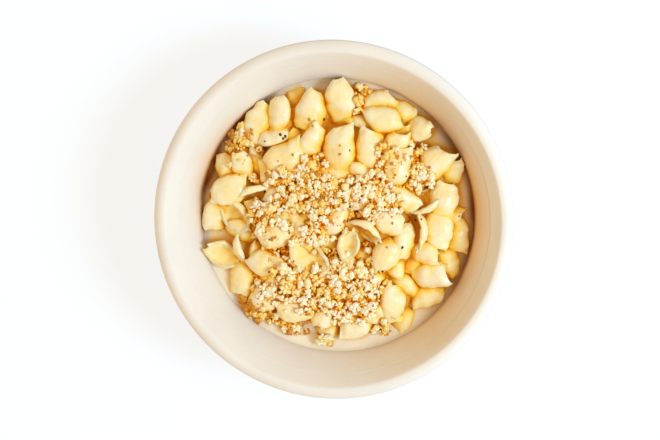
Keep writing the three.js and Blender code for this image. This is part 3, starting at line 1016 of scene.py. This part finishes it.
class FOOD_OT_sauce_pool(bpy.types.Operator):
    """Pours the pool of sauce up to its level, with its meniscus on the wall"""

    bl_idname = "food.sauce_pool"
    bl_label = "Sauce pool"

    def execute(self, context):
        settings = context.scene.mac_sauce
        turn = np.linspace(0, 2 * math.pi, POOL_SIDES, endpoint=False)
        lean = math.degrees(WALL_LEAN)
        profile = [
            (0.0, FLOOR_TOP + POOL_GAP),
            (30.0, FLOOR_TOP + POOL_GAP),
            *arc(CORNER_CENTRE, FLOOR_TOP + CORNER_RADIUS, CORNER_RADIUS - POOL_GAP, -90, -lean, 8),
            (inner_radius(18) - POOL_GAP, 18.0),
            (inner_radius(SAUCE_LEVEL - 1) - POOL_GAP, SAUCE_LEVEL - 1),
        ]
        points = [(r * math.cos(a), r * math.sin(a), h) for r, h in profile for a in turn]
        # how far in from the wall each ring of the surface lies, closest together up the meniscus
        rings = np.concatenate([[0, 0.25, 0.5, 0.9, 1.4, 2.0, 3.0, 4.2], np.linspace(6, 70, 32)])
        for inwards in rings:
            for a in turn:
                x, y = math.cos(a), math.sin(a)
                smear = math.exp(-((a - SMEAR_TURN) / SMEAR_HALF) ** 2)
                climb = MENISCUS * (1 + 0.35 * cloud(x * 3, y * 3, 1.0) + 0.12 * cloud(x * 14, y * 14, 2.0))
                climb += SMEAR_CLIMB * smear
                rise = climb * math.exp(-inwards / (MENISCUS_WIDTH / 2.6 * (1 + 1.6 * smear)))
                radius = max(0.0, inner_radius(SAUCE_LEVEL + climb) - POOL_GAP - inwards)
                ripple = 0.35 * cloud(radius * x / 9, radius * y / 9, 4.0) * min(1.0, inwards / 4)
                points.append((radius * x, radius * y, SAUCE_LEVEL + rise + ripple))
        mesh = mesh_of("sauce_pool", points, ring_faces(len(profile) + len(rings), POOL_SIDES))
        merge_axis(mesh)
        x, y, z = points_of(mesh).T
        # painted shade: the sauce darker beside the shells and where the wall and the food shadow it, less on
        # the smear
        beside = sampled(TopSurface(("pasta_shells",)).smoothed(2.4), x, y) - z
        turned = np.arctan2(y, x)
        smear = np.exp(-(((turned - SMEAR_TURN) / SMEAR_HALF) ** 2))
        rich = butter_and_shade(x, y, 2.0)
        give(mesh, "depth", np.clip((beside - 0.4) / 4.6 + 0.28 * rich - 0.4 * smear, 0, 1))
        # painted contact shadow at the sauce's edge by the wall, where shade gathers
        limit = np.array([inner_radius(level) for level in z])
        inwards = np.maximum(0, limit - np.hypot(x, y))
        uneven = np.array([1 + 0.9 * cloud(4 * math.cos(a), 4 * math.sin(a), 3.0) for a in turned])
        contact_shadow = rich * np.exp(-((inwards / (CONTACT_SHADOW_WIDTH * np.maximum(uneven, 0.2))) ** 2))
        give(mesh, "edge", np.clip(contact_shadow * (0.5 + 0.5 * uneven), 0, 1))
        finish = sauce_finish("cheese_sauce", tuple(settings.cream), tuple(settings.melted))
        add_piece("sauce_pool", mesh, finish, "cheese_sauce")
        return {"FINISHED"}


class FOOD_OT_pasta(bpy.types.Operator):
    """Lays the pasta shells"""

    bl_idname = "food.pasta"
    bl_label = "Pasta shells"

    def execute(self, context):
        settings = context.scene.mac_pasta
        rng = np.random.RandomState(11)
        under = filler_places(rng, 14, 0, -5)
        between = filler_places(rng, 12, 10.5, -1.2)
        points, tones, shades = [], [], []
        for place in (*TOP_SHELLS, *between, *under):
            x, y, heading, pitch, roll, lift, *listed = place
            form = shell_form(rng, settings, open_shell(place))
            stations, loop = form.shape[:2]
            usual = rng.uniform(0.96, 1.12)
            flat = form.reshape(-1, 3) * (listed[0] if listed else usual)
            flat = turned_about(flat, heading, pitch, roll)
            flat = settled(flat, x, y, mound_height(x, y) + lift)
            points.append(flat)
            tones.append(np.full(len(flat), rng.uniform()))
            shades.append(np.full(len(flat), MOUTH_SHADE if open_shell(place) else 1))
        quads, tris = shell_faces(stations, loop)
        steps = np.arange(len(points))[:, None, None] * stations * loop
        quads = (quads[None] + steps).reshape(-1, 4)
        tris = (tris[None] + steps).reshape(-1, 3)
        ribs = np.zeros(loop)
        ribs[:SHELL_ACROSS] = np.linspace(-1, 1, SHELL_ACROSS) * SHELL_RIBS * math.pi
        points = np.concatenate(points)
        mesh = mesh_of("pasta_shells", points, quads, tris)
        give(mesh, "tone", np.concatenate(tones))
        give(mesh, "rib", np.tile(ribs, len(points) // loop))
        add_piece("pasta_shells", mesh, pasta_finish(settings), "pasta_heap")
        # painted shade: deeper in the gaps and on steep sides, less in open mouths
        around = TopSurface(("pasta_shells",)).smoothed(3.5)
        sunk = (sampled(around, points[:, 0], points[:, 1]) - points[:, 2] + 1.6) / 5.6
        steep = 1 - np.abs([vertex.normal.z for vertex in mesh.vertices])
        give(mesh, "depth", np.clip((sunk + STEEP_SHADE * steep) * np.concatenate(shades), 0, 1))
        return {"FINISHED"}


class FOOD_OT_sauce_between(bpy.types.Operator):
    """Fills the heap between the shells with sauce"""

    bl_idname = "food.sauce_between"
    bl_label = "Sauce between the shells"

    def execute(self, context):
        settings = context.scene.mac_sauce
        sides, rings = HEAP_SAUCE_SIDES, HEAP_SAUCE_RINGS
        draped = TopSurface(("pasta_shells",)).smoothed(2.6) - settings.depth / MM
        points = []
        turn = np.linspace(0, 2 * math.pi, sides, endpoint=False)
        for share in np.linspace(1, 0, rings):
            for a in turn:
                x = MOUND_CENTRE[0] + HEAP_SAUCE_RADIUS * share * math.cos(a)
                y = MOUND_CENTRE[1] + HEAP_SAUCE_RADIUS * share * math.sin(a)
                lumps = 0.6 * cloud(x / 6, y / 6, 1.5) + 0.25 * cloud(x / 2.6, y / 2.6, 5.5)
                edge = min(1.0, (1 - share) * 12)
                level = float(sampled(draped, x, y)) + lumps
                points.append((x, y, SAUCE_LEVEL - 2 + (level - SAUCE_LEVEL + 2) * edge))
        points.append((*MOUND_CENTRE, HEAP_SAUCE_FOOT))
        foot = len(points) - 1
        rim = np.arange(sides)
        fan = np.stack([rim, np.full(sides, foot), (rim + 1) % sides], axis=-1)
        mesh = mesh_of("sauce_in_heap", points, ring_faces(rings, sides), fan)
        merge_axis(mesh)
        x, y, z = points_of(mesh).T
        # painted shade: the sauce between the shells darker the deeper it lies
        sunk = sampled(draped, x, y) + settings.depth / MM - z
        give(mesh, "depth", np.clip(0.35 + (sunk - 1) / 4.0, 0, 1))
        finish = sauce_finish("melted_cheese", tuple(settings.cream), tuple(settings.melted))
        add_piece("sauce_in_heap", mesh, finish)
        return {"FINISHED"}


def granule_form():
    """A small round form of 42 points and 80 faces, of radius 1."""
    work = bmesh.new()
    bmesh.ops.create_icosphere(work, subdivisions=2, radius=1.0)
    points = np.array([vertex.co[:] for vertex in work.verts])
    faces = np.array([[vertex.index for vertex in face.verts] for face in work.faces])
    work.free()
    return points, faces


class TopSurface:
    """The height of what lies highest in the bowl, on a square grid that grows as crumbs land."""

    REACH = 76.0
    STEP = 0.5
    SIXTHS = tuple(k * math.pi / 3 for k in range(6))

    def __init__(self, names):
        scene = bpy.context.scene
        depsgraph = bpy.context.evaluated_depsgraph_get()
        trees = [BVHTree.FromObject(scene.objects[name], depsgraph) for name in names]
        count = round(2 * self.REACH / self.STEP) + 1
        self.height = np.full((count, count), SAUCE_LEVEL)
        down = Vector((0, 0, -1))
        for i in range(count):
            for j in range(count):
                x, y = i * self.STEP - self.REACH, j * self.STEP - self.REACH
                if math.hypot(x, y) > self.REACH - 2:
                    continue
                for tree in trees:
                    hit = tree.ray_cast(Vector((x, y, 80)) * MM, down)[0]
                    if hit:
                        self.height[i, j] = max(self.height[i, j], hit.z / MM)

    def smoothed(self, width):
        """The heights with a soft blur of the given width, in millimetres."""
        reach = math.ceil(3 * width / self.STEP)
        weights = np.exp(-0.5 * (np.arange(-reach, reach + 1) * self.STEP / width) ** 2)
        weights /= weights.sum()
        soft = np.pad(self.height, reach, mode="edge")
        for axis in (0, 1):
            soft = np.apply_along_axis(np.convolve, axis, soft, weights, mode="valid")
        return soft

    def cell(self, x, y):
        return round((x + self.REACH) / self.STEP), round((y + self.REACH) / self.STEP)

    def at(self, x, y):
        return self.height[self.cell(x, y)]

    def land(self, x, y, radius):
        """Rolls a crumb to a low place nearby and lets it rest there.

        Returns its middle, or None where the pile would be too high.
        """
        for _ in range(3):
            around = [(x + radius * math.cos(a), y + radius * math.sin(a)) for a in self.SIXTHS]
            lowest = min(around, key=lambda place: self.at(*place))
            if self.at(*lowest) > self.at(x, y) - 0.35 * radius:
                break
            x, y = lowest
        z = self.at(x, y) + 0.55 * radius
        if z + radius > PILE_TOP:
            return None
        reach = math.ceil(radius / self.STEP)
        i, j = self.cell(x, y)
        across = np.arange(-reach, reach + 1) * self.STEP
        square = across[:, None] ** 2 + across[None, :] ** 2
        cap = np.where(square < radius**2, z + np.sqrt(np.maximum(0, radius**2 - square)) * 0.8, 0)
        patch = self.height[i - reach : i + reach + 1, j - reach : j + reach + 1]
        np.maximum(patch, cap, out=patch)
        return x, y, z


def sampled(heights, x, y):
    """Heights of a TopSurface grid at places between its cells."""
    last = len(heights) - 1.001
    i = np.clip((np.asarray(x) + TopSurface.REACH) / TopSurface.STEP, 0, last)
    j = np.clip((np.asarray(y) + TopSurface.REACH) / TopSurface.STEP, 0, last)
    a, b = i.astype(int), j.astype(int)
    s, t = i - a, j - b
    near = heights[a, b] * (1 - t) + heights[a, b + 1] * t
    far = heights[a + 1, b] * (1 - t) + heights[a + 1, b + 1] * t
    return near * (1 - s) + far * s


class FOOD_OT_crumbs(bpy.types.Operator):
    """Strews the breadcrumbs over the heap, in clumps that pile up"""

    bl_idname = "food.crumbs"
    bl_label = "Breadcrumbs"

    def bare(self, x, y):
        """Whether a place stays clear: by the wall, over an open shell, or in a gap between clumps."""
        if math.hypot(x, y) > CRUMB_REACH:
            return True
        for shell in filter(open_shell, TOP_SHELLS):
            heading = math.radians(shell[2])
            along = (x - shell[0]) * math.cos(heading) + (y - shell[1]) * math.sin(heading)
            across = (y - shell[1]) * math.cos(heading) - (x - shell[0]) * math.sin(heading)
            if math.hypot(along / 12.5, across / 7) < 1:
                return True
        return cloud(x / 3.2, y / 3.2, 5.0) > 0.36

    def strewn(self, rng, patch, share):
        """Places scattered evenly over an elliptical patch."""
        x, y, half_width, half_depth, turn, amount, _ = patch
        c, s = math.cos(math.radians(turn)), math.sin(math.radians(turn))
        for _ in range(round(amount * share)):
            reach, angle = math.sqrt(rng.uniform()), rng.uniform(0, 2 * math.pi)
            a, b = reach * half_width * math.cos(angle), reach * half_depth * math.sin(angle)
            place = x + a * c - b * s, y + a * s + b * c
            if not self.bare(*place):
                yield place

    def lobes(self, rng, radius):
        """The lobes of one clump, as (place about its middle, radius, how low it sits): core, then dome."""
        made = [(np.zeros(3), 0.78 * radius, 0.6)]
        count = 3 + round(1.4 * radius)
        for index in range(count):
            up = 1 - 0.9 * (index + 0.5) / count
            turn = math.radians(index * 137.5 + rng.uniform(-35, 35))
            out = math.sqrt(1 - up * up)
            size = rng.uniform(0.75, 1.6) * min(1.0, radius / 2.1)
            way = np.array((math.cos(turn) * out, math.sin(turn) * out, 0.75 * up))
            made.append((way * (radius - rng.uniform(0.2, 0.8) * size), size, 1 - up))
        return made

    def crag(self, rng, base):
        """One lobe of radius 1, bulging and pitted, and longer one way than the others."""
        waves = np.sin(base @ rng.normal(0, 2.0, (3, 3)) + rng.uniform(0, 2 * math.pi, 3))
        bulges = 1 + 0.15 * waves.sum(axis=1, keepdims=True) + rng.normal(0, 0.11, (len(base), 1))
        return base * np.maximum(bulges, 0.4) * rng.uniform(0.65, 1.25, 3)

    def execute(self, context):
        settings = context.scene.mac_crumbs
        rng = np.random.RandomState(23)
        top = TopSurface(("pasta_shells", "sauce_in_heap", "sauce_pool"))
        kinds = {kind: [] for kind, _ in CRUMB_KINDS}
        landed = []
        for patch in CRUMB_PATCHES:
            for place in self.strewn(rng, patch, GRAIN_SHARE):
                radius = rng.uniform(0.5, 1.0)
                rest = top.land(*place, radius)
                if rest:
                    landed.append((*rest, radius, GRAIN_WARMTH + patch[-1]))
        for patch in CRUMB_PATCHES:
            for place in self.strewn(rng, patch, CLUMP_SHARE):
                radius = settings.size / MM / 2 * rng.uniform(0.62, 1.35)
                rest = top.land(*place, radius)
                if rest:
                    landed.append((*rest, radius, patch[-1]))
        for x, y, z, radius, browned in landed:
            warmth = 0.55 * rng.uniform() + 0.45 * cloud(x / 4, y / 4, 9.0) + 0.6 * browned
            single = [(np.zeros(3), radius, 0.5)]
            for offset, size, low in single if radius < SINGLE_BELOW else self.lobes(rng, radius):
                # lobes low in a clump draw browner kinds: painted shade
                draw = warmth + 0.25 * low + 0.15 * rng.uniform()
                kind = next(kind for kind, warmest in CRUMB_KINDS if draw < warmest)
                kinds[kind].append((np.array((x, y, z)) + offset, size))
        around = top.smoothed(2.0)
        base, faces = granule_form()
        for kind, lobes in kinds.items():
            points, tones = [], []
            lobes = [lobes[index] for index in rng.permutation(len(lobes))[:LOBES_AT_MOST]]
            for middle, radius in lobes:
                form = turned_about(self.crag(rng, base), *rng.uniform(-180, 180, 3))
                points.append(form * radius + middle)
                tones.append(np.full(len(base), rng.uniform()))
            points = inside_wall(np.concatenate(points))
            steps = np.arange(len(points) // len(base))[:, None, None] * len(base)
            name = f"crumbs_{kind}"
            mesh = mesh_of(name, points, (faces[None] + steps).reshape(-1, 3))
            give(mesh, "tone", np.concatenate(tones))
            # painted shade: deeper in the gaps and on steep sides
            sunk = sampled(around, points[:, 0], points[:, 1]) - points[:, 2] + 1.0
            steep = 1 - np.array([vertex.normal.z for vertex in mesh.vertices]).clip(0, 1)
            give(mesh, "depth", np.clip(sunk / 2.9 + CRUMB_STEEP_SHADE * steep, 0, 1))
            colour = tuple(getattr(settings, kind))
            add_piece(name, mesh, crumb_finish(name, colour, tuple(settings.golden)))
        # painted shade under the crumbs on the shells and the sauce between them
        for name in ("pasta_shells", "sauce_in_heap"):
            shade_under_crumbs(bpy.data.meshes[name], around)
        return {"FINISHED"}


class FOOD_OT_pepper(bpy.types.Operator):
    """Sprinkles cracked pepper and seasoning"""

    bl_idname = "food.pepper"
    bl_label = "Pepper and seasoning"

    def execute(self, context):
        rng = np.random.RandomState(31)
        food = ("pasta_shells", "sauce_in_heap", "sauce_pool")
        top = TopSurface((*food, "crumbs_cream", "crumbs_pale", "crumbs_golden"))
        base, faces = granule_form()
        among = []
        for x, y, half_width, half_depth, _, amount, _ in CRUMB_PATCHES:
            for _ in range(round(amount * SPECK_SHARE)):
                out, turn = math.sqrt(rng.uniform()), rng.uniform(0, 2 * math.pi)
                among.append((x + half_width * out * math.cos(turn), y + half_depth * out * math.sin(turn)))
        among = [place for place in among if math.hypot(*place) < CRUMB_REACH]
        flakes = (
            ("pepper_flakes", PEPPER, 0.5, (0.03, 0.014, 0.006), (0.16, 0.07, 0.02)),
            ("seasoning_flakes", SEASONING, 0.5, (0.52, 0.20, 0.02), (0.76, 0.38, 0.05)),
            ("browned_specks", among, 0.35, (0.22, 0.07, 0.01), (0.50, 0.18, 0.02)),
        )
        for name, places, smallest, dark, light in flakes:
            points = []
            for x, y in places:
                radius = smallest * rng.uniform(1.0, 1.8)
                form = base * (1 + rng.normal(0, 0.18, (len(base), 1)))
                form = form * (1, rng.uniform(0.6, 1), rng.uniform(0.4, 0.8))
                form = turned_about(form, rng.uniform(-180, 180), 0, 0)
                points.append(form * radius + (x, y, top.at(x, y) + 0.2))
            steps = np.arange(len(points))[:, None, None] * len(base)
            mesh = mesh_of(name, np.concatenate(points), (faces[None] + steps).reshape(-1, 3))
            add_piece(name, mesh, flake_finish(name, dark, light))
        return {"FINISHED"}


class FOOD_OT_stage(bpy.types.Operator):
    """Sets the floor, the lights and the camera"""

    bl_idname = "food.stage"
    bl_label = "Stage"

    def execute(self, context):
        settings = context.scene.mac_stage
        scene = context.scene
        half = FLOOR_HALF
        corners = [(-half, -half, 0), (half, -half, 0), (half, half, 0), (-half, half, 0)]
        floor = bpy.data.objects.new("floor", mesh_of("floor", corners, np.array([[0, 1, 2, 3]])))
        floor.data.materials.append(floor_finish())
        scene.collection.objects.link(floor)

        key = bpy.data.lights.new("window", "AREA")
        key.shape = "DISK"
        key.size = WINDOW_SIZE
        key.energy = settings.key_power
        key.color = settings.key_colour
        lamp = bpy.data.objects.new("window", key)
        azimuth, elevation = WINDOW_AZIMUTH, WINDOW_ELEVATION
        level = math.cos(elevation)
        towards = Vector((math.cos(azimuth) * level, math.sin(azimuth) * level, math.sin(elevation)))
        lamp.location = towards * WINDOW_AWAY
        lamp.rotation_euler = towards.to_track_quat("Z", "Y").to_euler()
        scene.collection.objects.link(lamp)

        world = bpy.data.worlds.new("room")
        world.use_nodes = True
        background = world.node_tree.nodes["Background"]
        background.inputs["Color"].default_value = (*settings.fill_colour, 1)
        background.inputs["Strength"].default_value = settings.fill
        scene.world = world

        camera = bpy.data.cameras.new("camera")
        camera.lens = CAMERA_LENS_MM
        camera.sensor_width = CAMERA_SENSOR_MM
        camera.clip_start, camera.clip_end = CAMERA_CLIP
        eye = bpy.data.objects.new("camera", camera)
        aside = math.sin(settings.tilt)
        lean = CAMERA_LEANS_TO
        away = Vector((aside * math.cos(lean), aside * math.sin(lean), math.cos(settings.tilt)))
        eye.location = Vector(CAMERA_TARGET) + away * settings.distance
        back = away.normalized()
        right = Vector((0, 1, 0)).cross(back).normalized()
        up = back.cross(right)
        eye.rotation_euler = Matrix((right, up, back)).transposed().to_euler()
        scene.collection.objects.link(eye)
        scene.camera = eye
        scene.view_settings.view_transform = "Standard"
        return {"FINISHED"}


class FOOD_PT_dish(bpy.types.Panel):
    """Lists the dish's pieces and their settings"""

    bl_idname = "FOOD_PT_dish"
    bl_label = "Mac and Cheese"
    bl_space_type = "VIEW_3D"
    bl_region_type = "UI"
    bl_category = "Mac and Cheese"

    def draw(self, context):
        for name, operators in PANEL_ROWS:
            box = self.layout.box()
            settings = getattr(context.scene, name)
            for key in settings.__annotations__:
                box.prop(settings, key)
            for operator in operators:
                box.operator(operator.bl_idname)


PANEL_ROWS = (
    ("mac_bowl", (FOOD_OT_bowl,)),
    ("mac_sauce", (FOOD_OT_sauce_pool, FOOD_OT_sauce_between)),
    ("mac_pasta", (FOOD_OT_pasta,)),
    ("mac_crumbs", (FOOD_OT_crumbs, FOOD_OT_pepper)),
    ("mac_stage", (FOOD_OT_stage,)),
)
SETTINGS = {
    "mac_bowl": BowlSettings,
    "mac_sauce": SauceSettings,
    "mac_pasta": PastaSettings,
    "mac_crumbs": CrumbSettings,
    "mac_stage": StageSettings,
}
OPERATORS = (
    FOOD_OT_stage,
    FOOD_OT_bowl,
    FOOD_OT_sauce_pool,
    FOOD_OT_pasta,
    FOOD_OT_sauce_between,
    FOOD_OT_crumbs,
    FOOD_OT_pepper,
)


def register():
    for cls in (*SETTINGS.values(), *OPERATORS, FOOD_PT_dish):
        bpy.utils.register_class(cls)
    for name, cls in SETTINGS.items():
        setattr(bpy.types.Scene, name, bpy.props.PointerProperty(type=cls))


def unregister():
    for name in SETTINGS:
        delattr(bpy.types.Scene, name)
    for cls in reversed((*SETTINGS.values(), *OPERATORS, FOOD_PT_dish)):
        bpy.utils.unregister_class(cls)


def main():
    register()
    bpy.ops.food.stage()
    bpy.ops.food.bowl()
    bpy.ops.food.pasta()
    bpy.ops.food.sauce_pool()
    bpy.ops.food.sauce_between()
    bpy.ops.food.crumbs()
    bpy.ops.food.pepper()


if __name__ == "__main__":
    main()
